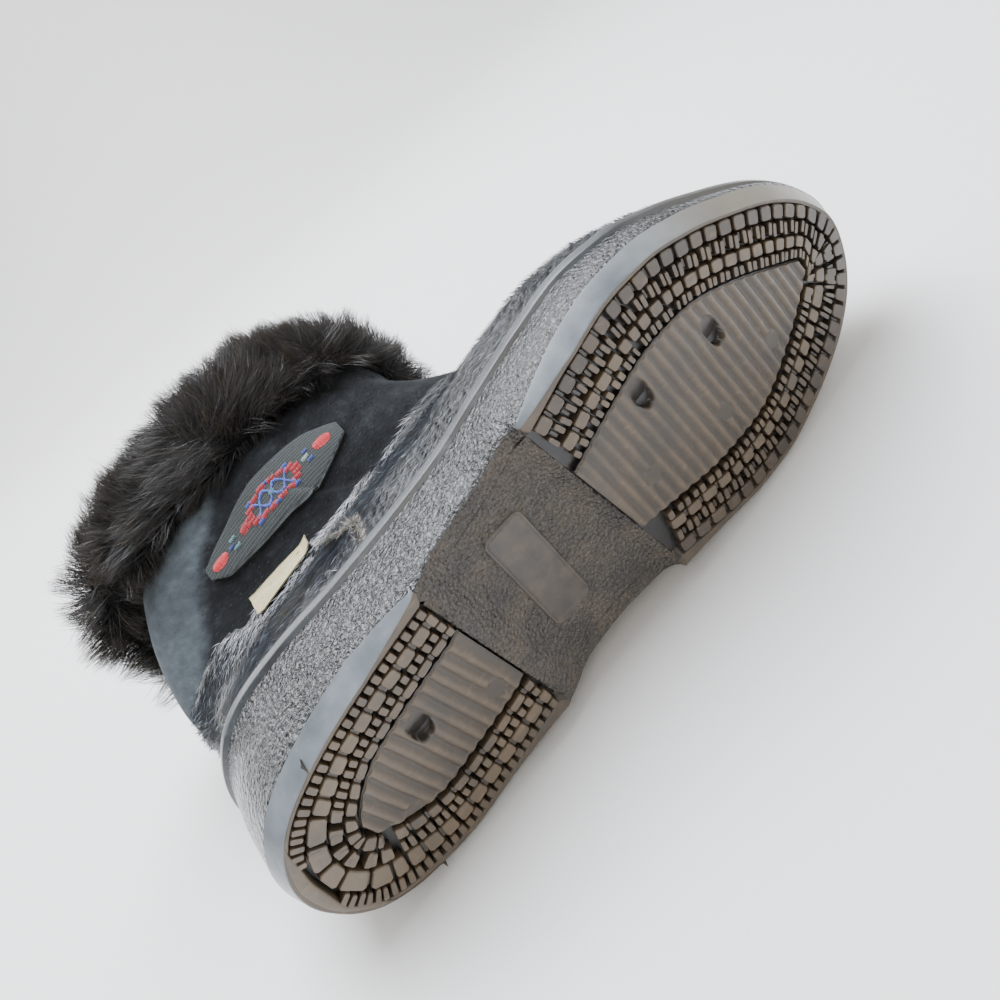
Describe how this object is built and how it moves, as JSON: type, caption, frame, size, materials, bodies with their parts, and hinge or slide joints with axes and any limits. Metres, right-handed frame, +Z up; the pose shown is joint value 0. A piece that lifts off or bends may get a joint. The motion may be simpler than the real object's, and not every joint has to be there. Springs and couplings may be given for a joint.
{
  "type": "apres-ski boot",
  "caption": "Slip-on winter boot lying on its inner side: hide upper with a deep fur cuff, embroidered side patch and a thick lugged rubber cup sole.",
  "frame": {"origin": "on the floor, under the middle of the boot's box as it lies", "axes": "+X from heel to toe, +Y from the sole towards the collar, +Z up from the floor, which is the boot's outer side"},
  "size_m": [0.3132, 0.1914, 0.1402],
  "materials": {
    "outsole_rubber": "moulded black rubber, glossy on the sides, dusty and scuffed on the tread",
    "insole_felt": "matt pressed felt",
    "upper_hide": "short black nap on the shaft, slate suede at the back",
    "vamp_hair_hide": "glossy short-haired black hide",
    "cuff_fur": "long black-brown fur with paler tips",
    "patch_embroidery": "grey cloth with dense satin-stitched motifs in red, blue and pale green",
    "label_tape": "woven cream tape, left blank"
  },
  "bodies": {
    "root": {"outsole": "outsole_rubber", "insole": "insole_felt", "upper": "upper_hide", "vamp": "vamp_hair_hide", "fur_cuff": "cuff_fur", "embroidered_patch": "patch_embroidery", "label_tab": "label_tape"}
  },
  "joints": []
}
